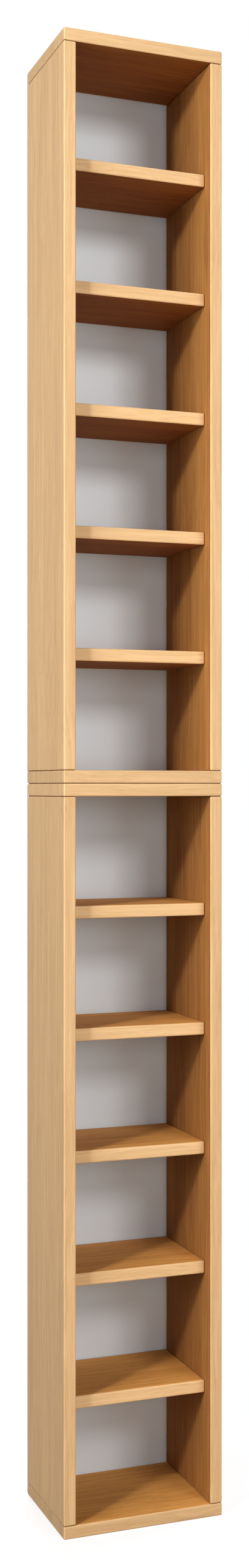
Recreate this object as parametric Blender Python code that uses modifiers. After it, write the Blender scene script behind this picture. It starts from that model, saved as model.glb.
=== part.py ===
"""A tall, slim compact disc rack: two equal modules of beech-faced board, bolted one on the other.

Each module has two sides standing between a bottom and a top board, a thin back panel nailed over
the rear edges, and five loose shelves. A shelf hangs on one bent wire at each end. The wire's legs
stand in two holes of the side, and its run lies hidden in a groove in the shelf's end, which is open
at the rear and stopped short of the front, so that the shelf slides out forwards over the wires.

Metres, +Z up. The front faces -Y and the origin is the middle of the underside.
"""

import math

import bmesh
import bpy
from mathutils import Matrix

# The whole rack
RACK_WIDTH = 0.212
MODULE_HEIGHT = 0.930
MODULE_NAMES = ("lower", "upper")
SHELVES_IN_MODULE = 5

# Boards
BOARD = 0.016
BOARD_DEPTH = 0.150
EDGE_ROUND = 0.0018
CARCASS_EDGE_SEGMENTS = 3
SHELF_EDGE_SEGMENTS = 2
SEAT_GAP = 0.0003

# Back panel
BACK_THICKNESS = 0.003
BACK_MARGIN = 0.001
BACK_EDGE_CHAMFER = 0.0003

# Shelves
SHELF_SETBACK = 0.018
SHELF_END_GAP = 0.0003
SHELF_REAR_GAP = 0.001

# Wire supports, with the groove and the holes that take them
WIRE_DIAMETER = 0.003
WIRE_BEND = 0.0025
WIRE_BEND_STEPS = 3
WIRE_LEG = 0.011
WIRE_SPAN = 0.096
WIRE_FROM_REAR = 0.016
WIRE_BEVEL_RESOLUTION = 2
WIRE_HOLE_CLEARANCE = 0.0003
WIRE_HOLE_EXTRA_DEPTH = 0.001
WIRE_HOLE_SIDES = 8
GROOVE_PLAY_BELOW = 0.0005
GROOVE_CUTTER_RADIUS = 0.020
GROOVE_CUTTER_SIDES = 28

# Carcass screws, countersunk and driven up and down into the ends of the sides
SCREW_LENGTH = 0.048
SCREW_HEAD_RADIUS = 0.005
SCREW_HEAD_RIM = 0.0006
SCREW_HEAD_HEIGHT = 0.0032
SCREW_SHANK_RADIUS = 0.0035
SCREW_SHANK_END = 0.0145
SCREW_CORE_RADIUS = 0.0029
SCREW_TIP_RADIUS = 0.0016
SCREW_TIP_LENGTH = 0.003
SCREW_SINK = 0.0006
SCREW_FROM_EDGE = 0.030
TURNED_STEPS = 12

# Hexagon sockets of the screws and of the joining fittings
SOCKET_ACROSS_FLATS = 0.004
SOCKET_DEPTH = 0.0022

# Sleeve and screw that clamp the upper module's bottom board on the lower module's top board, with
# their flat heads let into the boards
JOINER_SPACING = 0.100
JOINER_HEAD_RADIUS = 0.0075
JOINER_HEAD_HEIGHT = 0.0018
JOINER_HEAD_CROWN = 0.0005
JOINER_HEAD_SINK = 0.0003
JOINER_HEAD_CLEARANCE = 0.0005
SLEEVE_RADIUS = 0.004
SLEEVE_BORE_RADIUS = 0.0031
SLEEVE_CLOSED_LENGTH = 0.005
SLEEVE_END_GAP = 0.002
JOINER_SCREW_RADIUS = 0.0027
JOINER_TIP_GAP = 0.001
JOINER_HOLE_CLEARANCE = 0.0003

# Every cutter runs this far past the face that it opens
CUT_OVERRUN = 0.002

# Points of a turned profile nearer than this to each other or to the axis are one point
TURNED_MERGE = 0.00001

# Faces that meet at more than this angle keep a sharp edge on a smooth fastener
SHARP_ANGLE = math.radians(30)

# Worked out from the sizes above
TOTAL_DEPTH = BOARD_DEPTH + SEAT_GAP + BACK_THICKNESS
BOARD_FRONT = -TOTAL_DEPTH / 2
BOARD_REAR = BOARD_FRONT + BOARD_DEPTH
INNER_HALF = RACK_WIDTH / 2 - BOARD
SIDE_HEIGHT = MODULE_HEIGHT - 2 * (BOARD + SEAT_GAP)
COMPARTMENT = (MODULE_HEIGHT - (SHELVES_IN_MODULE + 2) * BOARD) / (SHELVES_IN_MODULE + 1)
WIRE_RADIUS = WIRE_DIAMETER / 2
WIRE_REAR_LEG = BOARD_REAR - WIRE_FROM_REAR
WIRE_FRONT_LEG = WIRE_REAR_LEG - WIRE_SPAN
WIRE_REACH = WIRE_BEND + WIRE_RADIUS
GROOVE_DEPTH = WIRE_REACH + SEAT_GAP - SHELF_END_GAP
GROOVE_TOP = WIRE_RADIUS + SEAT_GAP
GROOVE_BOTTOM = -WIRE_RADIUS - GROOVE_PLAY_BELOW
COUNTERBORE_DEPTH = JOINER_HEAD_HEIGHT + JOINER_HEAD_SINK
JOINER_GRIP = 2 * (BOARD - COUNTERBORE_DEPTH) + SEAT_GAP
SLEEVE_LENGTH = JOINER_GRIP - SLEEVE_END_GAP
JOINER_SCREW_LENGTH = JOINER_GRIP - SLEEVE_CLOSED_LENGTH - JOINER_TIP_GAP

# Colours, as red, green and blue in linear light, then roughness and metallic
FINISHES = {
    "beech_sides": ((0.52, 0.29, 0.12), 0.45, 0.0),
    "beech_boards": ((0.60, 0.35, 0.15), 0.45, 0.0),
    "beech_shelves": ((0.56, 0.32, 0.13), 0.45, 0.0),
    "back_panel_white": ((0.62, 0.60, 0.58), 0.55, 0.0),
    "shelf_wire_steel": ((0.55, 0.55, 0.56), 0.30, 1.0),
    "screw_steel": ((0.62, 0.61, 0.58), 0.35, 1.0),
    "joiner_steel": ((0.60, 0.60, 0.61), 0.28, 1.0),
}


def clear_scene():
    for obj in list(bpy.data.objects):
        bpy.data.objects.remove(obj, do_unlink=True)


def new_collection(name):
    collection = bpy.data.collections.new(name)
    bpy.context.scene.collection.children.link(collection)
    return collection


def new_material(name):
    colour, roughness, metallic = FINISHES[name]
    material = bpy.data.materials.new(name)
    material.use_nodes = True
    shader = material.node_tree.nodes["Principled BSDF"]
    shader.inputs["Base Color"].default_value = (*colour, 1)
    shader.inputs["Roughness"].default_value = roughness
    shader.inputs["Metallic"].default_value = metallic
    material.diffuse_color = (*colour, 1)
    return material


class Shop:
    """The collections and materials that every piece is made with."""

    def __init__(self):
        self.parts = new_collection("cd_rack")
        self.cutters = new_collection("cutters")
        self.materials = {name: new_material(name) for name in FINISHES}

    def part(self, name, data, finish, parent, location=(0, 0, 0), turn=(0, 0, 0)):
        obj = bpy.data.objects.new(name, data)
        self.parts.objects.link(obj)
        if not data.materials:
            data.materials.append(self.materials[finish])
        return place(obj, parent, location, turn)

    def cutter(self, name, mesh, parent, location=(0, 0, 0)):
        obj = bpy.data.objects.new(name, mesh)
        self.cutters.objects.link(obj)
        obj.hide_render = True
        obj.display_type = "WIRE"
        return place(obj, parent, location, (0, 0, 0))


def place(obj, parent, location, turn):
    obj.parent = parent
    obj.location = location
    obj.rotation_euler = turn
    return obj


def box_mesh(name, size):
    """A box centred on its own origin."""
    bm = bmesh.new()
    bmesh.ops.create_cube(bm, size=1)
    bmesh.ops.scale(bm, vec=size, verts=bm.verts)
    return finished_mesh(name, bm)


def finished_mesh(name, bm):
    mesh = bpy.data.meshes.new(name)
    bm.to_mesh(mesh)
    bm.free()
    return mesh


def round_edges(obj, radius, segments):
    bevel = obj.modifiers.new("rounded_edges", "BEVEL")
    bevel.width = radius
    bevel.segments = segments
    bevel.limit_method = "ANGLE"


def cut(obj, cutter):
    boolean = obj.modifiers.new(cutter.name, "BOOLEAN")
    boolean.operation = "DIFFERENCE"
    boolean.object = cutter


def cylinders_mesh(name, sides, radius, height, matrices):
    """Equal closed cylinders in one mesh, each along its matrix's Z and centred on its origin."""
    bm = bmesh.new()
    for matrix in matrices:
        bmesh.ops.create_cone(
            bm, cap_ends=True, segments=sides, radius1=radius, radius2=radius, depth=height, matrix=matrix
        )
    return finished_mesh(name, bm)


def hexagon_mesh(name, across_flats, height):
    """A hexagonal prism whose top stands the cutting overrun above its origin."""
    lift = Matrix.Translation((0, 0, CUT_OVERRUN - height / 2))
    return cylinders_mesh(name, 6, across_flats / math.sqrt(3), height, [lift])


def turned_object(shop, name, profile):
    """A solid of revolution about Z from (radius, height) points that run from top to bottom."""
    points = [(radius, 0, height) for radius, height in profile]
    edges = [(i, i + 1) for i in range(len(points) - 1)]
    mesh = bpy.data.meshes.new(name)
    mesh.from_pydata(points, edges, [])
    obj = shop.cutter(name, mesh, None)
    screw = obj.modifiers.new("turned", "SCREW")
    screw.steps = TURNED_STEPS
    screw.render_steps = TURNED_STEPS
    screw.use_merge_vertices = True
    screw.merge_threshold = TURNED_MERGE
    return obj


def baked_mesh(obj, name):
    """The evaluated mesh of a pattern object, which is then removed."""
    bpy.context.view_layer.update()
    graph = bpy.context.evaluated_depsgraph_get()
    mesh = bpy.data.meshes.new_from_object(obj.evaluated_get(graph))
    mesh.name = name
    mesh.materials.clear()
    bpy.data.objects.remove(obj, do_unlink=True)
    return mesh


def copies_mesh(name, pattern, matrices):
    """One mesh with a copy of the pattern at each matrix."""
    bm = bmesh.new()
    for matrix in matrices:
        old = len(bm.verts)
        bm.from_mesh(pattern)
        bm.verts.ensure_lookup_table()
        bmesh.ops.transform(bm, matrix=matrix, verts=bm.verts[old:])
    return finished_mesh(name, bm)


def screw_profile(clearance):
    """A countersunk screw below its head's face. With a clearance, it is the hole that takes it."""
    head = SCREW_HEAD_RADIUS + clearance
    shank = SCREW_SHANK_RADIUS + clearance
    core = SCREW_CORE_RADIUS + clearance
    top = CUT_OVERRUN if clearance else 0
    end = -SCREW_LENGTH - clearance
    neck = SCREW_SHANK_RADIUS - SCREW_CORE_RADIUS
    return [
        (0, top),
        (head, top),
        (head, -SCREW_HEAD_RIM),
        (shank, -SCREW_HEAD_HEIGHT),
        (shank, -SCREW_SHANK_END - clearance),
        (core, -SCREW_SHANK_END - neck - clearance),
        (core, end + SCREW_TIP_LENGTH),
        (SCREW_TIP_RADIUS + clearance, end),
        (0, end),
    ]


def sleeve_profile():
    """A flanged sleeve nut that hangs below its seat, open at its lower end."""
    neck = JOINER_HEAD_HEIGHT - JOINER_HEAD_CROWN
    return [
        (0, JOINER_HEAD_HEIGHT),
        (JOINER_HEAD_RADIUS - 2 * JOINER_HEAD_CROWN, JOINER_HEAD_HEIGHT),
        (JOINER_HEAD_RADIUS, neck - JOINER_HEAD_CROWN),
        (JOINER_HEAD_RADIUS, SEAT_GAP),
        (SLEEVE_RADIUS, SEAT_GAP),
        (SLEEVE_RADIUS, -SLEEVE_LENGTH),
        (SLEEVE_BORE_RADIUS, -SLEEVE_LENGTH),
        (SLEEVE_BORE_RADIUS, -SLEEVE_CLOSED_LENGTH),
        (0, -SLEEVE_CLOSED_LENGTH),
    ]


def joiner_screw_profile():
    """The screw that enters the sleeve from the other side, drawn head up."""
    neck = JOINER_HEAD_HEIGHT - JOINER_HEAD_CROWN
    return [
        (0, JOINER_HEAD_HEIGHT),
        (JOINER_HEAD_RADIUS - 2 * JOINER_HEAD_CROWN, JOINER_HEAD_HEIGHT),
        (JOINER_HEAD_RADIUS, neck - JOINER_HEAD_CROWN),
        (JOINER_HEAD_RADIUS, SEAT_GAP),
        (JOINER_SCREW_RADIUS, SEAT_GAP),
        (JOINER_SCREW_RADIUS, JOINER_HEAD_CROWN - JOINER_SCREW_LENGTH),
        (JOINER_SCREW_RADIUS - JOINER_HEAD_CROWN, -JOINER_SCREW_LENGTH),
        (0, -JOINER_SCREW_LENGTH),
    ]


def socketed_mesh(shop, name, profile, face_height):
    """A turned fastener with a hexagon socket sunk in the face of its head."""
    pattern = turned_object(shop, name + "_pattern", profile)
    socket = hexagon_mesh(name + "_socket", SOCKET_ACROSS_FLATS, SOCKET_DEPTH + CUT_OVERRUN)
    cutter = shop.cutter(name + "_socket", socket, None, (0, 0, face_height))
    cut(pattern, cutter)
    mesh = baked_mesh(pattern, name)
    bpy.data.objects.remove(cutter, do_unlink=True)
    mesh.shade_smooth()
    mesh.set_sharp_from_angle(angle=SHARP_ANGLE)
    return mesh


def wire_curve(name):
    """A flat U of round wire: the legs point to -X, and the run lies along Y, clear of the side."""
    half = WIRE_SPAN / 2
    quarter = [math.pi / 2 * step / WIRE_BEND_STEPS for step in range(WIRE_BEND_STEPS + 1)]
    front = [
        (WIRE_BEND * math.sin(angle), WIRE_BEND - half - WIRE_BEND * math.cos(angle))
        for angle in quarter
    ]
    rear = [(x, -y) for x, y in reversed(front)]
    points = [(-WIRE_LEG, -half), *front, *rear, (-WIRE_LEG, half)]
    curve = bpy.data.curves.new(name, "CURVE")
    curve.dimensions = "3D"
    curve.bevel_depth = WIRE_RADIUS
    curve.bevel_resolution = WIRE_BEVEL_RESOLUTION
    curve.use_fill_caps = True
    spline = curve.splines.new("POLY")
    spline.points.add(len(points) - 1)
    for point, (x, y) in zip(spline.points, points):
        point.co = (x, y, 0, 1)
    return curve


def groove_meshes(name):
    """The two cuts of a slotting disc in the left end of a shelf: its plunge, then its run to the rear.

    Their origin is the corner where the shelf's end meets its front, at the height of the wire.
    The disc plunges to full depth beside the wire's front bend.
    """
    height = GROOVE_TOP - GROOVE_BOTTOM
    middle = (GROOVE_TOP + GROOVE_BOTTOM) / 2
    shelf_front = BOARD_FRONT + SHELF_SETBACK
    plunge = WIRE_FRONT_LEG + WIRE_BEND - SEAT_GAP - shelf_front
    rear = BOARD_REAR - shelf_front + CUT_OVERRUN
    disc_place = Matrix.Translation((GROOVE_DEPTH - GROOVE_CUTTER_RADIUS, plunge, middle))
    disc = cylinders_mesh(name + "_plunge", GROOVE_CUTTER_SIDES, GROOVE_CUTTER_RADIUS, height, [disc_place])
    slot = box_mesh(name + "_run", (GROOVE_DEPTH + CUT_OVERRUN, rear - plunge, height))
    slot.transform(Matrix.Translation(((GROOVE_DEPTH - CUT_OVERRUN) / 2, (rear + plunge) / 2, middle)))
    return disc, slot


def mirrored(mesh, name):
    """A copy of the mesh with left and right exchanged."""
    copy = mesh.copy()
    copy.name = name
    copy.transform(Matrix.Diagonal((-1, 1, 1, 1)))
    copy.flip_normals()
    return copy


def shelf_underside(number):
    """Height of a shelf's underside above its module's base, counting shelves from 1."""
    return number * (COMPARTMENT + BOARD)


def wire_height(number):
    return shelf_underside(number) + BOARD / 2


def screw_places():
    """(name, x, y) of the four screws in a bottom or a top board."""
    x = RACK_WIDTH / 2 - BOARD / 2
    front = BOARD_FRONT + SCREW_FROM_EDGE
    rear = BOARD_REAR - SCREW_FROM_EDGE
    return [
        ("front_left", -x, front),
        ("front_right", x, front),
        ("rear_left", -x, rear),
        ("rear_right", x, rear),
    ]


def make_horizontal_boards(shop, module, parent, screw_hole_cutters):
    size = (RACK_WIDTH, BOARD_DEPTH, BOARD)
    mesh = box_mesh("cross_board", size)
    middle_y = (BOARD_FRONT + BOARD_REAR) / 2
    heights = {"bottom": BOARD / 2, "top": MODULE_HEIGHT - BOARD / 2}
    boards = {}
    for where, height in heights.items():
        name = f"{module}_{where}_board"
        board = shop.part(name, mesh, "beech_boards", parent, (0, middle_y, height))
        round_edges(board, EDGE_ROUND, CARCASS_EDGE_SEGMENTS)
        cut(board, screw_hole_cutters[where])
        boards[where] = board
    return boards


def make_sides(shop, module, parent, screw_hole_cutters):
    mesh = box_mesh("side", (BOARD, BOARD_DEPTH, SIDE_HEIGHT))
    middle_y = (BOARD_FRONT + BOARD_REAR) / 2
    depth = WIRE_LEG + WIRE_HOLE_EXTRA_DEPTH
    for where, sign in (("left", -1), ("right", 1)):
        x = sign * (INNER_HALF + BOARD / 2)
        name = f"{module}_{where}_side"
        side = shop.part(name, mesh, "beech_sides", parent, (x, middle_y, MODULE_HEIGHT / 2))
        round_edges(side, EDGE_ROUND, CARCASS_EDGE_SEGMENTS)
        hole_x = sign * (INNER_HALF + (depth - CUT_OVERRUN) / 2)
        places = [
            Matrix.Translation((hole_x, y, wire_height(number))) @ Matrix.Rotation(math.pi / 2, 4, "Y")
            for number in range(1, SHELVES_IN_MODULE + 1)
            for y in (WIRE_FRONT_LEG, WIRE_REAR_LEG)
        ]
        holes = cylinders_mesh(
            f"{module}_{where}_wire_holes",
            WIRE_HOLE_SIDES,
            WIRE_RADIUS + WIRE_HOLE_CLEARANCE,
            depth + CUT_OVERRUN,
            places,
        )
        cut(side, shop.cutter(holes.name, holes, parent))
        for cutter in screw_hole_cutters.values():
            cut(side, cutter)


def make_back_panel(shop, module, parent):
    width = RACK_WIDTH - 2 * BACK_MARGIN
    height = MODULE_HEIGHT - 2 * BACK_MARGIN
    mesh = box_mesh("back_panel", (width, BACK_THICKNESS, height))
    y = BOARD_REAR + SEAT_GAP + BACK_THICKNESS / 2
    panel = shop.part(f"{module}_back_panel", mesh, "back_panel_white", parent, (0, y, MODULE_HEIGHT / 2))
    round_edges(panel, BACK_EDGE_CHAMFER, 1)


def make_shelves(shop, module, parent, grooves):
    length = 2 * (INNER_HALF - SHELF_END_GAP)
    depth = BOARD_DEPTH - SHELF_SETBACK - SHELF_REAR_GAP
    mesh = box_mesh("shelf", (length, depth, BOARD))
    front = BOARD_FRONT + SHELF_SETBACK
    for number in range(1, SHELVES_IN_MODULE + 1):
        name = f"{module}_shelf_{number}"
        height = wire_height(number)
        shelf = shop.part(name, mesh, "beech_shelves", parent, (0, front + depth / 2, height))
        round_edges(shelf, EDGE_ROUND, SHELF_EDGE_SEGMENTS)
        for sign, meshes in grooves.items():
            for pattern in meshes:
                corner = (sign * length / 2, front, height)
                cut(shelf, shop.cutter(f"{name}_{pattern.name}", pattern, parent, corner))


def make_shelf_wires(shop, module, parent, curve):
    middle_y = (WIRE_FRONT_LEG + WIRE_REAR_LEG) / 2
    for number in range(1, SHELVES_IN_MODULE + 1):
        for where, sign, turn in (("left", -1, 0), ("right", 1, math.pi)):
            shop.part(
                f"{module}_shelf_{number}_{where}_wire",
                curve,
                "shelf_wire_steel",
                parent,
                (sign * INNER_HALF, middle_y, wire_height(number)),
                (0, 0, turn),
            )


def screw_levels():
    """Height of the screw heads' faces above the module's base, and the turn that points them in."""
    return {"bottom": (SCREW_SINK, math.pi), "top": (MODULE_HEIGHT - SCREW_SINK, 0)}


def make_screws(shop, module, parent, mesh):
    for where, (height, turn) in screw_levels().items():
        for corner, x, y in screw_places():
            name = f"{module}_{where}_{corner}_screw"
            shop.part(name, mesh, "screw_steel", parent, (x, y, height), (turn, 0, 0))


def make_screw_hole_cutters(shop, module, parent, pattern):
    cutters = {}
    for where, (height, turn) in screw_levels().items():
        matrices = [
            Matrix.Translation((x, y, height)) @ Matrix.Rotation(turn, 4, "X") for _, x, y in screw_places()
        ]
        mesh = copies_mesh(f"{module}_{where}_screw_holes", pattern, matrices)
        cutters[where] = shop.cutter(mesh.name, mesh, parent)
    return cutters


def make_module(shop, module, base, patterns):
    parent = bpy.data.objects.new(f"{module}_module", None)
    shop.parts.objects.link(parent)
    parent.location = (0, 0, base)
    cutters = make_screw_hole_cutters(shop, module, parent, patterns["screw_hole"])
    boards = make_horizontal_boards(shop, module, parent, cutters)
    make_sides(shop, module, parent, cutters)
    make_back_panel(shop, module, parent)
    make_shelves(shop, module, parent, patterns["grooves"])
    make_shelf_wires(shop, module, parent, patterns["wire"])
    make_screws(shop, module, parent, patterns["screw"])
    return boards


def joiner_hole_meshes(above, below):
    """The bore that takes the sleeve, and the two counterbores outwards from the seats of the heads.

    The seats lie at the heights above and below, from the joint between the modules.
    """
    bore_height = 2 * (BOARD + SEAT_GAP + CUT_OVERRUN)
    bore_radius = SLEEVE_RADIUS + JOINER_HOLE_CLEARANCE
    bore = cylinders_mesh("joiner_bore", TURNED_STEPS, bore_radius, bore_height, [Matrix.Identity(4)])
    height = COUNTERBORE_DEPTH + CUT_OVERRUN
    radius = JOINER_HEAD_RADIUS + JOINER_HEAD_CLEARANCE
    middles = [Matrix.Translation((0, 0, z)) for z in (above + height / 2, below - height / 2)]
    return bore, cylinders_mesh("joiner_counterbores", TURNED_STEPS, radius, height, middles)


def make_joiners(shop, joint_height, lower_top_board, upper_bottom_board):
    """Two sleeve and screw pairs through the boards that meet between the modules."""
    middle_y = (BOARD_FRONT + BOARD_REAR) / 2
    sleeve = socketed_mesh(shop, "joining_sleeve", sleeve_profile(), JOINER_HEAD_HEIGHT)
    screw = socketed_mesh(shop, "joining_screw", joiner_screw_profile(), JOINER_HEAD_HEIGHT)
    sleeve_seat = SEAT_GAP + BOARD - COUNTERBORE_DEPTH
    screw_seat = COUNTERBORE_DEPTH - BOARD
    cutters = joiner_hole_meshes(sleeve_seat, screw_seat)
    for where, sign in (("left", -1), ("right", 1)):
        x = sign * JOINER_SPACING / 2
        for mesh in cutters:
            cutter = shop.cutter(f"{mesh.name}_{where}", mesh, None, (x, middle_y, joint_height))
            cut(lower_top_board, cutter)
            cut(upper_bottom_board, cutter)
        above = (x, middle_y, joint_height + sleeve_seat)
        shop.part(f"joining_sleeve_{where}", sleeve, "joiner_steel", None, above)
        below = (x, middle_y, joint_height + screw_seat)
        shop.part(f"joining_screw_{where}", screw, "joiner_steel", None, below, (math.pi, 0, 0))


def main():
    clear_scene()
    shop = Shop()
    hole_pattern = turned_object(shop, "screw_hole_pattern", screw_profile(SEAT_GAP))
    left_grooves = groove_meshes("left_groove")
    right_grooves = tuple(mirrored(mesh, mesh.name.replace("left", "right")) for mesh in left_grooves)
    patterns = {
        "screw": socketed_mesh(shop, "carcass_screw", screw_profile(0), 0),
        "screw_hole": baked_mesh(hole_pattern, "screw_hole"),
        "wire": wire_curve("shelf_wire"),
        "grooves": {-1: left_grooves, 1: right_grooves},
    }
    module_pitch = MODULE_HEIGHT + SEAT_GAP
    boards = {
        name: make_module(shop, name, index * module_pitch, patterns)
        for index, name in enumerate(MODULE_NAMES)
    }
    make_joiners(shop, MODULE_HEIGHT, boards["lower"]["top"], boards["upper"]["bottom"])
    bpy.context.view_layer.update()


main()
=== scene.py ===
"""Looks of the CD rack: two stacked modules in beech decor, loose shelves on bent wires, and thin backs.

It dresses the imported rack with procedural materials, closes the joints between its boards, and sets up
the studio and the camera. Lengths are in metres where nothing else is said, and noise is scaled in
cycles per metre.
"""

import math
import random

import bpy
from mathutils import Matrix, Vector

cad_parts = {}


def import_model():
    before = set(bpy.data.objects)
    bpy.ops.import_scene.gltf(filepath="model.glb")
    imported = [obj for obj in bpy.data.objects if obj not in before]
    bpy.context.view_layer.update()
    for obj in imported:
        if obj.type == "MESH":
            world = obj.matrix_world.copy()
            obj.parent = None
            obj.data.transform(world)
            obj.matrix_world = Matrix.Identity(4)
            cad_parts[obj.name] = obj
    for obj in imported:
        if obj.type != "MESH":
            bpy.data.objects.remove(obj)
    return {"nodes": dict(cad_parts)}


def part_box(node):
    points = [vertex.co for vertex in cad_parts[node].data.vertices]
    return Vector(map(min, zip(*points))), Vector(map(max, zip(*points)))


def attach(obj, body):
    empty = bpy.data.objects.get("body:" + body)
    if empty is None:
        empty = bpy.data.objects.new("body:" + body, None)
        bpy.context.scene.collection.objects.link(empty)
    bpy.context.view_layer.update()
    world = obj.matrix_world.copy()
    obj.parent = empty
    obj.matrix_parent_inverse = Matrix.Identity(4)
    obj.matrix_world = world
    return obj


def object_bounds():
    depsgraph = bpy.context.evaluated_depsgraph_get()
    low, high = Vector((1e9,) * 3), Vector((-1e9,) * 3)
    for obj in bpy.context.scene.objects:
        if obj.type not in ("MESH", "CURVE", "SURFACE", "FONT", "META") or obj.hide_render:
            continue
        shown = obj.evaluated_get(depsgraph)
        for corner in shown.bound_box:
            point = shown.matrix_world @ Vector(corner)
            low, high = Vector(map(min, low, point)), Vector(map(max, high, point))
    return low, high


SEED = 7
SHIFT_RANGE = 40  # how far a material may reach into the noise for a pattern of its own

# Camera, fitted to the photograph's corners and joint lines. Its shift is a share of the frame's height.
CAMERA_PLACE = (-0.7857, -2.1050, 0.9245)
CAMERA_SHIFT = 0.0025
CAMERA_AZIMUTH = -20.521  # degrees, turned to the right of straight ahead
CAMERA_LENS, CAMERA_SENSOR = 39.958, 36.0  # millimetres

# Each lamp's place, width and height, and power in watts. All aim at the rack's middle.
LAMPS = {
    "key": ((-2.29, -1.55, 2.42), (0.26, 0.26), 43.0),
    "left_softbox": ((-2.10, -0.65, 1.60), (1.2, 1.6), 49.0),
    "front_strip": ((0.0, -4.50, 1.20), (0.6, 2.0), 36.5),
    "high_right_softbox": ((1.50, -4.20, 3.00), (1.5, 1.0), 76.0),
    "low_right_softbox": ((1.60, -2.60, 0.90), (1.0, 1.0), 11.3),
    # These three light the faces that the photograph doesn't show.
    "rear_softbox": ((0.75, 2.50, 1.70), (1.2, 1.6), 55.0),
    "right_softbox": ((2.40, 0.60, 1.50), (1.0, 1.6), 38.0),
    "top_softbox": ((0.20, 0.30, 3.40), (1.0, 1.0), 14.0),
}

# The floor is seen as a shade that takes the rack's shadow, with a glow that lifts it close to white.
FLOOR_HALF = 6.0
FLOOR_SHADE = (0.35, 0.35, 0.35, 1.0)
FLOOR_GLOW = 0.67
FLOOR_BOUNCE = (0.37, 0.28, 0.17, 1.0)  # what it sends back onto the rack, warm as in the photograph
SHADOW_FADE = (0.14, 0.42)  # distances from the foot's middle between which the floor fades to white

# The boards' form, and the joints between them.
BOARD = 0.016  # thickness
ROUNDING = 0.0018
FRONT_FADE = (0.3 * ROUNDING, ROUNDING)  # distances from the front between which its band ends
OUTER_FADE = (0.4 * ROUNDING, ROUNDING)  # the same for the faces on the outside of the rack
SEAM = 0.0010  # how far the painted shade of a joint reaches up the rounding of each board
# How strongly the painted shade darkens the joints.
SEAM_SHADE_SHARE = 0.40
SEAM_WIDTH = 0.0012  # of the bars of the frames that close the joints
SEAM_ROUGHNESS, SEAM_SPECULAR, SEAM_RELIEF = 0.75, 0.1, 0.0001
# A faint mottle in the painted shade of the joints' frames, its darker shade and its roughness.
SEAM_MOTTLE, SEAM_MOTTLE_SHADE, SEAM_MOTTLE_ROUGHNESS = (160.0, 160.0, 900.0), 0.5, 0.2

# Beech decor. Each layer of the grain has its scale across and along the fibres.
BROAD, BROAD_SWING = (38.0, 1.1), 0.9
STREAKS, STREAK_SWING = (230.0, 4.5), 1.6
FINE, FINE_SWING = (900.0, 11.0), 1.0
DASHES, DASH_RANGE, DASH_SHARE = (760.0, 34.0), (0.56, 0.72), 0.30
FLECKS, FLECK_RANGE, FLECK_SHARE = (2300.0, 260.0), (0.66, 0.78), 0.08
WAVES, WAVE_SWAY = 6.0, 0.020
SCUFFS, SCUFF_RANGE, SCUFF_SHARE = 90.0, (0.45, 0.70), 0.22
EDGE_WEAR = (0.0004, 0.0032)  # distances from the edges between which the scuffs fade out
BOARD_SPREAD = (0.965, 1.035)  # brightness of the boards
SHELF_BAND = 1.12  # brightness of the shelves' front edges against the carcass's
BEECH_ROUGHNESS, STREAK_ROUGHNESS, SCUFF_ROUGHNESS = 0.66, 0.10, 0.05
OUTER_GLOSS = 0.14  # how much less rough the outside is
BEECH_SPECULAR = 0.20
BEECH_RELIEF, FINE_HEIGHT = 0.00004, 0.5

# Hardboard of the back panels, painted in front and bare at the rear, with small pins along its edges.
PAINT_DEPTH = 0.0004
PAINT_SPREAD, PAINT_ROUGHNESS = (0.955, 1.03), 0.44
CLOUDS, CLOUD_ROUGHNESS = (14.0, 14.0, 9.0), 0.10
PEEL, PEEL_HEIGHT = 420.0, 0.35
FIBRES, FIBRE_SPREAD = (700.0, 700.0, 260.0), (0.72, 1.25)
SPECKS, SPECK_RANGE, SPECK_SHARE, SPECK_SHADE = 1500.0, (0.62, 0.74), 0.5, 0.35
SCREEN = 105.0  # the wave texture's scale, for 3 mm from one line of the print to the next
BARE_ROUGHNESS = 0.30  # how much rougher the bare hardboard is than the paint
HARDBOARD_RELIEF = 0.00012
PIN_RADIUS = 0.0011
PIN_INSET = 0.007
PIN_PITCH = 0.0928
PIN_SHADE = 0.8
PIN_GLOSS = 0.40  # how much less rough the pins are than the hardboard

# Plated steel: its crystals, the marks of the die, and the roughness of each kind.
SPANGLE, SPANGLE_SHADE, SPANGLE_ROUGHNESS, SPANGLE_HEIGHT = 520.0, 0.86, 0.16, 0.4
SCRATCHES = (4000.0, 700.0, 4000.0)
STEEL_RELIEF = 0.00002
WIRE_ROUGHNESS = 0.30
SCREW_ROUGHNESS = 0.34
JOINER_ROUGHNESS = 0.24


def srgb(red, green, blue):
    """The linear colour of an 8-bit sRGB one."""

    def linear(channel):
        share = channel / 255
        return share / 12.92 if share <= 0.04045 else ((share + 0.055) / 1.055) ** 2.4

    return (linear(red), linear(green), linear(blue), 1.0)


def scaled(colour, factor):
    return tuple(channel * factor for channel in colour[:3]) + (1.0,)


def own_shift(rng):
    """A place in the noise for one material, so that no two share their pattern."""
    return [rng.uniform(-SHIFT_RANGE, SHIFT_RANGE) for _ in range(3)]


WHITE = srgb(255, 255, 255)
OUTER_LIGHT = srgb(192, 160, 118)
OUTER_DARK = srgb(167, 135, 97)
# The inside faces are darker and more orange than the outside ones: painted shade and painted warm
# bounce inside the compartments.
SHADED_INNER_LIGHT = srgb(176, 123, 63)
SHADED_INNER_DARK = srgb(136, 87, 40)
# Tops of the lying boards lighter and their undersides darker than the inside faces: painted light on
# the tops and painted shade under the boards.
LIT_TOP_LIGHT = srgb(230, 166, 88)
LIT_TOP_DARK = srgb(196, 132, 63)
SHADED_UNDER_LIGHT = srgb(160, 98, 39)
SHADED_UNDER_DARK = srgb(124, 68, 25)
BAND_LIGHT = srgb(232, 194, 146)
BAND_DARK = srgb(209, 169, 121)
FLECK = srgb(120, 74, 38)
DASH_TINT = (0.80, 0.66, 0.48, 1.0)
# The brown of the painted shade in the joints, on the boards and on the frames that close them.
SEAM_SHADE_BROWN = srgb(92, 50, 22)
PAINT = srgb(222, 231, 237)
HARDBOARD = srgb(141, 104, 68)
ZINC = srgb(202, 204, 208)
NICKEL = srgb(206, 203, 197)


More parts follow.
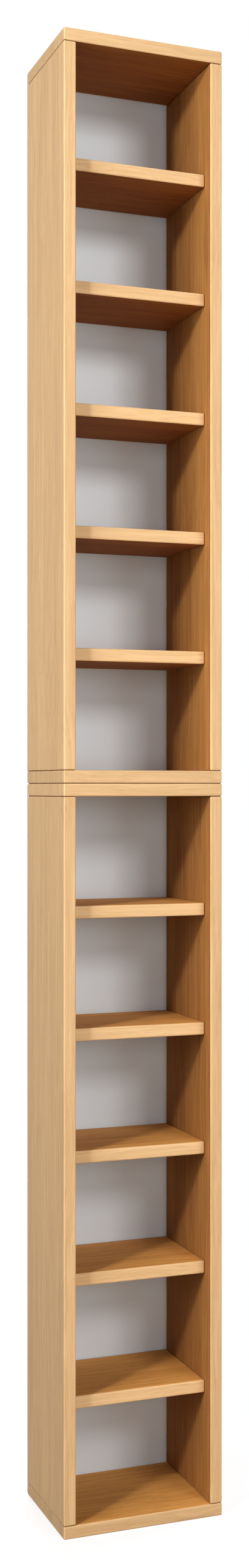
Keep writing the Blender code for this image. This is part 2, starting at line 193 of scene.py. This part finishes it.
class Graph:
    """A node tree, built by short calls that return sockets."""

    def __init__(self, tree, output="ShaderNodeOutputMaterial"):
        self.tree = tree
        self.tree.nodes.clear()
        self.output = self.tree.nodes.new(output)

    def add(self, kind, inputs=(), **settings):
        node = self.tree.nodes.new(kind)
        for key, value in settings.items():
            setattr(node, key, value)
        for key, value in dict(inputs).items():
            self.feed(node.inputs[key], value)
        return node

    def feed(self, socket, value):
        if isinstance(value, bpy.types.NodeSocket):
            self.tree.links.new(value, socket)
        else:
            socket.default_value = value

    def math(self, operation, *values, clamp=False):
        inputs = enumerate(values)
        return self.add("ShaderNodeMath", inputs, operation=operation, use_clamp=clamp).outputs[0]

    def times(self, *values):
        return self.math("MULTIPLY", *values)

    def minus(self, *values):
        return self.math("SUBTRACT", *values)

    def gap(self, value, level):
        return self.math("ABSOLUTE", self.minus(value, level))

    def mix(self, share, first, second, blend="MIX"):
        inputs = {0: share, 6: first, 7: second}
        return self.add("ShaderNodeMix", inputs, data_type="RGBA", blend_type=blend).outputs[2]

    def choose(self, share, first, second):
        """The first vector where share is 0, and the second where it is 1."""
        inputs = {0: share, 4: first, 5: second}
        return self.add("ShaderNodeMix", inputs, data_type="VECTOR").outputs[1]

    def rise(self, value, low, high, start=0.0, end=1.0):
        """A smooth step from start to end while the value goes from low to high."""
        inputs = {"Value": value, "From Min": low, "From Max": high, "To Min": start, "To Max": end}
        return self.add("ShaderNodeMapRange", inputs, interpolation_type="SMOOTHSTEP").outputs[0]

    def fall(self, value, low, high):
        return self.rise(value, low, high, 1.0, 0.0)

    def stretch(self, vector, scale, shift):
        """The vector times one scale, or times one for each axis, and shifted."""
        scales = scale if isinstance(scale, tuple) else (scale, scale, scale)
        inputs = {"Vector": vector, "Scale": scales, "Location": shift}
        return self.add("ShaderNodeMapping", inputs).outputs[0]

    def noise(self, vector, detail=2.0, roughness=0.5):
        inputs = {"Vector": vector, "Scale": 1.0, "Detail": detail, "Roughness": roughness}
        return self.add("ShaderNodeTexNoise", inputs).outputs[0]

    def swing(self, noise, amount, middle=0.0):
        """The noise, whose own middle is a half, as a swing about another middle."""
        return self.math("MULTIPLY_ADD", noise, amount, middle - amount / 2)

    def bands(self, vector, scale, axis):
        """Waves of light and dark along one axis."""
        inputs = {"Vector": vector, "Scale": scale}
        return self.add("ShaderNodeTexWave", inputs, bands_direction=axis).outputs[1]

    def place(self):
        """The point's rest place in the rack's frame, which moves with the piece."""
        return self.add("ShaderNodeTexCoord").outputs["Object"]

    def split(self, vector):
        return self.add("ShaderNodeSeparateXYZ", {0: vector}).outputs

    def length(self, vector):
        return self.add("ShaderNodeVectorMath", {0: vector}, operation="LENGTH").outputs["Value"]

    def radius(self, first, second):
        """The length of a vector with these two parts."""
        return self.length(self.add("ShaderNodeCombineXYZ", {0: first, 1: second}).outputs[0])

    def bump(self, height, distance):
        return self.add("ShaderNodeBump", {"Height": height, "Distance": distance}).outputs[0]

    def surface(self, colour, roughness, normal, constants):
        inputs = {"Base Color": colour, "Roughness": roughness, "Normal": normal, **constants}
        shader = self.add("ShaderNodeBsdfPrincipled", inputs)
        self.feed(self.output.inputs["Surface"], shader.outputs[0])


def new_material(name):
    """A material, and the graph of its nodes."""
    material = bpy.data.materials.new(name)
    material.use_nodes = True
    return material, Graph(material.node_tree)


def dress(node, material):
    node.data.materials.clear()
    node.data.materials.append(material)


def edge_nearness(graph, place, low, high):
    """1 at the edges of a board's box and 0 inside its faces."""
    centre = (low + high) / 2
    half = (high - low) / 2
    depths = [
        graph.minus(half[axis], graph.gap(value, centre[axis]))
        for axis, value in enumerate(place)
    ]
    least = graph.math("MINIMUM", depths[0], depths[1])
    most = graph.math("MAXIMUM", depths[0], depths[1])
    middle = graph.math("MAXIMUM", least, graph.math("MINIMUM", most, depths[2]))
    return graph.fall(middle, *EDGE_WEAR)


def outer_planes(node, low, high):
    """The board's faces on the outside of the rack, each as its axis and place."""
    planes = []
    if "_shelf_" not in node and not node.endswith("_right_side"):
        planes.append((0, low.x))
    if "_shelf_" not in node and not node.endswith("_left_side"):
        planes.append((0, high.x))
    if node.endswith("_top_board"):
        planes.append((2, high.z))
    if node.endswith("_bottom_board"):
        planes.append((2, low.z))
    return planes


def near_any(graph, planes, place):
    """1 at the planes, fading to 0 where the boards' rounding ends."""
    near = 0.0
    for axis, value in planes:
        near = graph.math("MAXIMUM", near, graph.fall(graph.gap(place[axis], value), *OUTER_FADE))
    return near


def joint_shade(graph, node, place, low, high):
    """1 in the depth of the joints between the carcass boards, fading to 0 up their roundings: where
    their painted shade goes.
    """
    if "_shelf_" in node:
        return 0.0
    x, _, z = place

    def at(level):
        return graph.fall(graph.gap(z, level), 0.0, SEAM)

    if node.endswith("_side"):
        return graph.math("MAXIMUM", at(low.z), at(high.z))
    inner_face = high.x - BOARD
    over_side = graph.rise(graph.math("ABSOLUTE", x), inner_face - ROUNDING, inner_face + ROUNDING)
    facing_side = graph.times(over_side, at(low.z if node.endswith("_top_board") else high.z))
    if node == "lower_top_board":
        return graph.math("MAXIMUM", facing_side, at(high.z))
    if node == "upper_bottom_board":
        return graph.math("MAXIMUM", facing_side, at(low.z))
    return facing_side


def beech(node, upright, rng):
    """Beech decor for one board: its grain upright, or along X with upright grain on the two ends."""
    material, graph = new_material("beech_" + node)
    low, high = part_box(node)
    place = graph.place()
    x, y, z = graph.split(place)
    shift = own_shift(rng)
    wave = graph.noise(graph.stretch(place, WAVES, shift), detail=1.0)
    bend = graph.times(graph.minus(wave, 0.5), WAVE_SWAY)
    wavy = graph.add("ShaderNodeVectorMath", {0: place, 1: bend}, operation="ADD").outputs[0]
    at_left = graph.math("LESS_THAN", x, low.x + ROUNDING)
    at_right = graph.math("GREATER_THAN", x, high.x - ROUNDING)
    at_end = graph.math("MAXIMUM", at_left, at_right)
    in_front = graph.fall(graph.minus(y, low.y), *FRONT_FADE)
    outside = near_any(graph, outer_planes(node, low, high), (x, y, z))

    def grain(scales, detail, roughness=0.5):
        """Noise that is fine across the grain and drawn out along it."""
        across, along = scales
        fibres = graph.stretch(wavy, (across, across, along), shift)
        if not upright:
            lying = graph.stretch(wavy, (along, across, across), shift)
            fibres = graph.choose(at_end, lying, fibres)
        return graph.noise(fibres, detail, roughness)

    def blend(dark, light, brightness):
        return graph.mix(tone, scaled(dark, brightness), scaled(light, brightness))

    broad = grain(BROAD, 2.0)
    streaks = grain(STREAKS, 2.5, 0.6)
    fine = grain(FINE, 2.0)
    tone = graph.math("ADD", graph.swing(broad, BROAD_SWING), graph.swing(streaks, STREAK_SWING, 0.5))
    tone = graph.math("ADD", tone, graph.swing(fine, FINE_SWING), clamp=True)
    dashes = graph.rise(grain(DASHES, 1.5), *DASH_RANGE)
    flecks = graph.rise(grain(FLECKS, 1.0), *FLECK_RANGE)

    level = rng.uniform(*BOARD_SPREAD)
    # The inside faces' darker, more orange tone is painted shade and painted bounce.
    base = blend(SHADED_INNER_DARK, SHADED_INNER_LIGHT, level)
    # Painted light makes the tops lighter, and painted shade makes the undersides darker.
    if not upright:
        upper = blend(LIT_TOP_DARK, LIT_TOP_LIGHT, level)
        under = blend(SHADED_UNDER_DARK, SHADED_UNDER_LIGHT, level)
        base = graph.mix(graph.rise(z, high.z - ROUNDING, high.z), base, upper)
        base = graph.mix(graph.fall(z, low.z, low.z + ROUNDING), base, under)
    outer = blend(OUTER_DARK, OUTER_LIGHT, level)
    band = blend(BAND_DARK, BAND_LIGHT, level * (SHELF_BAND if "_shelf_" in node else 1.0))
    colour = graph.mix(in_front, graph.mix(outside, base, outer), band)
    colour = graph.mix(graph.times(dashes, DASH_SHARE), colour, DASH_TINT, "MULTIPLY")
    colour = graph.mix(graph.times(flecks, FLECK_SHARE), colour, FLECK)

    worn = edge_nearness(graph, (x, y, z), low, high)
    scuffs = graph.noise(graph.stretch(place, SCUFFS, shift), detail=3.0)
    scuffs = graph.rise(scuffs, *SCUFF_RANGE)
    colour = graph.mix(graph.times(graph.times(worn, scuffs), SCUFF_SHARE), colour, BAND_LIGHT)
    # Painted shade: the boards darken towards their joints.
    seam = joint_shade(graph, node, (x, y, z), low, high)
    colour = graph.mix(graph.times(seam, SEAM_SHADE_SHARE), colour, SEAM_SHADE_BROWN)
    roughness = graph.math("MULTIPLY_ADD", streaks, STREAK_ROUGHNESS, BEECH_ROUGHNESS)
    roughness = graph.math("MULTIPLY_ADD", outside, -OUTER_GLOSS, roughness)
    roughness = graph.math("ADD", roughness, graph.times(scuffs, SCUFF_ROUGHNESS))
    height = graph.minus(graph.times(fine, FINE_HEIGHT), flecks)
    normal = graph.bump(height, BEECH_RELIEF)
    graph.surface(colour, roughness, normal, {"Specular IOR Level": BEECH_SPECULAR})
    return material


def pin_heads(graph, place, low, high):
    """1 on the flush heads of the pins along a back panel's four edges."""
    x, _, z = place

    def offset(value, low_end, high_end, pitch):
        """How far the value is from the nearest of evenly spaced places between the two ends."""
        count = round((high_end - low_end) / pitch)
        step = (high_end - low_end) / count
        along = graph.math("DIVIDE", graph.minus(value, low_end), step)
        return graph.times(graph.minus(along, graph.math("ROUND", along)), step)

    left, right = low.x + PIN_INSET, high.x - PIN_INSET
    foot, head = low.z + PIN_INSET, high.z - PIN_INSET
    to_column = offset(x, left, right, right - left)
    to_row = offset(z, foot, head, head - foot)
    in_column = graph.radius(to_column, offset(z, foot, head, PIN_PITCH))
    in_row = graph.radius(offset(x, left, right, PIN_PITCH), to_row)
    nearest = graph.math("MINIMUM", in_column, in_row)
    return graph.rise(nearest, PIN_RADIUS, 0.8 * PIN_RADIUS)


def painted_hardboard(node, rng):
    """Thin hardboard: paint in front, bare fibres with a screen's print at the rear and the edges."""
    material, graph = new_material("hardboard_" + node)
    low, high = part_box(node)
    place = graph.place()
    x, y, z = graph.split(place)
    shift = own_shift(rng)
    bare = graph.math("GREATER_THAN", y, low.y + PAINT_DEPTH)
    pins = graph.times(bare, pin_heads(graph, (x, y, z), low, high))

    clouds = graph.noise(graph.stretch(place, CLOUDS, shift), detail=3.0)
    peel = graph.noise(graph.stretch(place, PEEL, shift))
    paint = graph.mix(clouds, *(scaled(PAINT, level) for level in PAINT_SPREAD))
    fibres = graph.noise(graph.stretch(place, FIBRES, shift), detail=4.0, roughness=0.7)
    specks = graph.rise(graph.noise(graph.stretch(place, SPECKS, shift)), *SPECK_RANGE)
    brown = graph.mix(fibres, *(scaled(HARDBOARD, level) for level in FIBRE_SPREAD))
    brown = graph.mix(graph.times(specks, SPECK_SHARE), brown, scaled(HARDBOARD, SPECK_SHADE))
    colour = graph.mix(pins, graph.mix(bare, paint, brown), scaled(ZINC, PIN_SHADE))

    screen = graph.times(graph.bands(place, SCREEN, "X"), graph.bands(place, SCREEN, "Z"))
    height = graph.times(graph.math("ADD", screen, fibres), graph.minus(bare, pins))
    height = graph.math("ADD", height, graph.times(peel, PEEL_HEIGHT))
    roughness = graph.math("MULTIPLY_ADD", clouds, CLOUD_ROUGHNESS, PAINT_ROUGHNESS)
    roughness = graph.math("MULTIPLY_ADD", bare, BARE_ROUGHNESS, roughness)
    roughness = graph.math("MULTIPLY_ADD", pins, -PIN_GLOSS, roughness)
    graph.surface(colour, roughness, graph.bump(height, HARDBOARD_RELIEF), {"Metallic": pins})
    return material


def plated_steel(name, colour, roughness, rng):
    """Plated steel with a faint spangle and the die's fine scratches."""
    material, graph = new_material(name)
    place = graph.place()
    shift = own_shift(rng)
    spangle = graph.noise(graph.stretch(place, SPANGLE, shift))
    scratches = graph.noise(graph.stretch(place, SCRATCHES, shift))
    tint = graph.mix(spangle, scaled(colour, SPANGLE_SHADE), colour)
    roughness = graph.swing(spangle, SPANGLE_ROUGHNESS, roughness)
    height = graph.math("ADD", graph.times(spangle, SPANGLE_HEIGHT), scratches)
    graph.surface(tint, roughness, graph.bump(height, STEEL_RELIEF), {"Metallic": 1.0})
    return material


def painted_seam_shade(rng):
    """The dark brown of a closed joint: painted shade, with a faint mottle."""
    material, graph = new_material("painted_seam_shade")
    mottle = graph.noise(graph.stretch(graph.place(), SEAM_MOTTLE, own_shift(rng)), detail=3.0)
    colour = graph.mix(mottle, scaled(SEAM_SHADE_BROWN, SEAM_MOTTLE_SHADE), SEAM_SHADE_BROWN)
    roughness = graph.math("MULTIPLY_ADD", mottle, SEAM_MOTTLE_ROUGHNESS, SEAM_ROUGHNESS)
    normal = graph.bump(mottle, SEAM_RELIEF)
    graph.surface(colour, roughness, normal, {"Specular IOR Level": SEAM_SPECULAR})
    return material


def flat_frame(name, low, high, width):
    """A flat rectangular frame that fills the box between two corners, with four bars of one width."""
    outline = [(low.x, low.y), (high.x, low.y), (high.x, high.y), (low.x, high.y)]
    inward = [(width, width), (-width, width), (-width, -width), (width, -width)]
    inside = [(x + in_x, y + in_y) for (x, y), (in_x, in_y) in zip(outline, inward)]
    points = [(x, y, z) for z in (low.z, high.z) for ring in (outline, inside) for x, y in ring]
    faces = []
    for first in range(4):
        second = (first + 1) % 4
        faces.append((first, second, second + 8, first + 8))
        faces.append((second + 4, first + 4, first + 12, second + 12))
        faces.append((second, first, first + 4, second + 4))
        faces.append((first + 8, second + 8, second + 12, first + 12))
    mesh = bpy.data.meshes.new(name)
    mesh.from_pydata(points, [], faces)
    return mesh


def make_seams(rng):
    """Closes the carcass's joints, as no light passes where the real boards press on each other; the
    frames' dark brown is painted shade.
    """
    material = painted_seam_shade(rng)
    inset = Vector((ROUNDING, ROUNDING, 0.0))
    joints = [("between_modules", "lower_top_board", "upper_bottom_board")]
    for module in ("lower", "upper"):
        for side in ("left", "right"):
            board, upright = f"{module}_bottom_board", f"{module}_{side}_side"
            joints.append((f"{module}_{side}_foot", board, upright))
            joints.append((f"{module}_{side}_head", upright, f"{module}_top_board"))
    for joint, below, above in joints:
        name = "seam_" + joint
        under_low, under_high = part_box(below)
        over_low, over_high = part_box(above)
        low = (max(under_low.x, over_low.x), max(under_low.y, over_low.y), under_high.z)
        high = (min(under_high.x, over_high.x), min(under_high.y, over_high.y), over_low.z)
        mesh = flat_frame(name, Vector(low) + inset, Vector(high) - inset, SEAM_WIDTH)
        seam = bpy.data.objects.new(name, mesh)
        bpy.context.scene.collection.objects.link(seam)
        dress(seam, material)
        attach(seam, "root")


def dress_rack(nodes):
    """Gives each CAD node its material, and each board one of its own, so no two share their grain."""
    rng = random.Random(SEED)
    wire_steel = plated_steel("zinc_wire", ZINC, WIRE_ROUGHNESS, rng)
    screw_steel = plated_steel("zinc_screw", ZINC, SCREW_ROUGHNESS, rng)
    joiner_steel = plated_steel("nickel_joiner", NICKEL, JOINER_ROUGHNESS, rng)
    for name in sorted(nodes):
        if name.startswith("joining_"):
            material = joiner_steel
        elif name.endswith("_wire"):
            material = wire_steel
        elif name.endswith("_screw"):
            material = screw_steel
        elif name.endswith("_back_panel"):
            material = painted_hardboard(name, rng)
        else:
            material = beech(name, name.endswith("_side"), rng)
        dress(nodes[name], material)


def shown_white(graph):
    """1 for the rays that should see a white studio: the camera's, and those in gloss and glass."""
    path = graph.add("ShaderNodeLightPath").outputs
    seen = graph.math("MAXIMUM", path["Is Camera Ray"], path["Is Glossy Ray"])
    return graph.math("MAXIMUM", seen, path["Is Transmission Ray"])


def make_world():
    """A white backdrop that is only seen: the lamps light the rack."""
    world = bpy.data.worlds.new("studio")
    world.use_nodes = True
    bpy.context.scene.world = world
    graph = Graph(world.node_tree, "ShaderNodeOutputWorld")
    inputs = {"Color": WHITE, "Strength": shown_white(graph)}
    background = graph.add("ShaderNodeBackground", inputs)
    graph.feed(graph.output.inputs["Surface"], background.outputs[0])


def make_floor():
    """A pale floor that keeps the rack's shadow near its foot and is white further away."""
    mesh = bpy.data.meshes.new("floor")
    corners = [(x * FLOOR_HALF, y * FLOOR_HALF, 0.0) for x, y in ((-1, -1), (1, -1), (1, 1), (-1, 1))]
    mesh.from_pydata(corners, [], [(0, 1, 2, 3)])
    floor = bpy.data.objects.new("floor", mesh)
    bpy.context.scene.collection.objects.link(floor)

    material, graph = new_material("pale_floor")
    far = graph.rise(graph.length(graph.place()), *SHADOW_FADE)
    matt = graph.add("ShaderNodeBsdfDiffuse", {"Color": FLOOR_SHADE}).outputs[0]
    bounce = graph.add("ShaderNodeBsdfDiffuse", {"Color": FLOOR_BOUNCE}).outputs[0]
    glow = graph.add("ShaderNodeEmission", {"Strength": FLOOR_GLOW}).outputs[0]
    white = graph.add("ShaderNodeEmission", {"Strength": 1.0}).outputs[0]
    near = graph.add("ShaderNodeAddShader", {0: matt, 1: glow}).outputs[0]
    seen = graph.add("ShaderNodeMixShader", {0: far, 1: near, 2: white}).outputs[0]
    shader = graph.add("ShaderNodeMixShader", {0: shown_white(graph), 1: bounce, 2: seen})
    graph.feed(graph.output.inputs["Surface"], shader.outputs[0])
    dress(floor, material)


def make_lamp(name, target, place, size, power):
    light = bpy.data.lights.new(name, "AREA")
    light.shape = "RECTANGLE"
    light.size, light.size_y = size
    light.energy = power
    lamp = bpy.data.objects.new(name, light)
    lamp.location = place
    lamp.rotation_euler = (Vector(target) - Vector(place)).to_track_quat("-Z", "Y").to_euler()
    lamp.visible_camera = False
    bpy.context.scene.collection.objects.link(lamp)


def make_camera():
    data = bpy.data.cameras.new("camera")
    data.lens = CAMERA_LENS
    data.sensor_width = CAMERA_SENSOR
    data.shift_y = CAMERA_SHIFT
    camera = bpy.data.objects.new("camera", data)
    camera.location = CAMERA_PLACE
    camera.rotation_euler = (math.radians(90), 0.0, math.radians(CAMERA_AZIMUTH))
    bpy.context.scene.collection.objects.link(camera)
    bpy.context.scene.camera = camera


def main():
    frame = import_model()
    cad_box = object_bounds()
    dress_rack(frame["nodes"])
    make_seams(random.Random(SEED + 1))
    middle = (cad_box[0] + cad_box[1]) / 2
    make_world()
    make_floor()
    for name, settings in LAMPS.items():
        make_lamp(name, middle, *settings)
    make_camera()
    bpy.context.scene.view_settings.view_transform = "Standard"


main()
